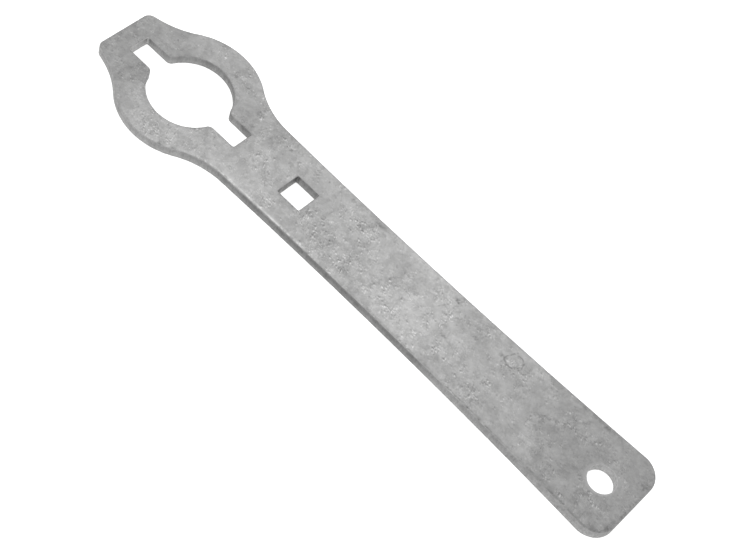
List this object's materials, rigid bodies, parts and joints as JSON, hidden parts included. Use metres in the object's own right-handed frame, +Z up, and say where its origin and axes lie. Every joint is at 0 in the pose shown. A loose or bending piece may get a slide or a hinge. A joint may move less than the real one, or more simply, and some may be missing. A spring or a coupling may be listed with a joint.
{
  "type": "flat slotted spanner",
  "caption": "Flat steel spanner: a round opening with opposed slots in its head, a square drive hole in its neck and a hang hole in its flared handle.",
  "frame": {"origin": "middle of the plate's length and width, on the face it lies on", "axes": "+X along the plate towards the handle's end, the head's tip towards -X; +Y across the plate; +Z up out of the top face"},
  "size_m": [0.305, 0.0668, 0.0048],
  "materials": {
    "zinc_steel": "dull grey tumbled zinc coat, cloudy, with small pits, scuffs and bright specks"
  },
  "bodies": {
    "root": {"spanner_plate": "zinc_steel"}
  },
  "joints": []
}
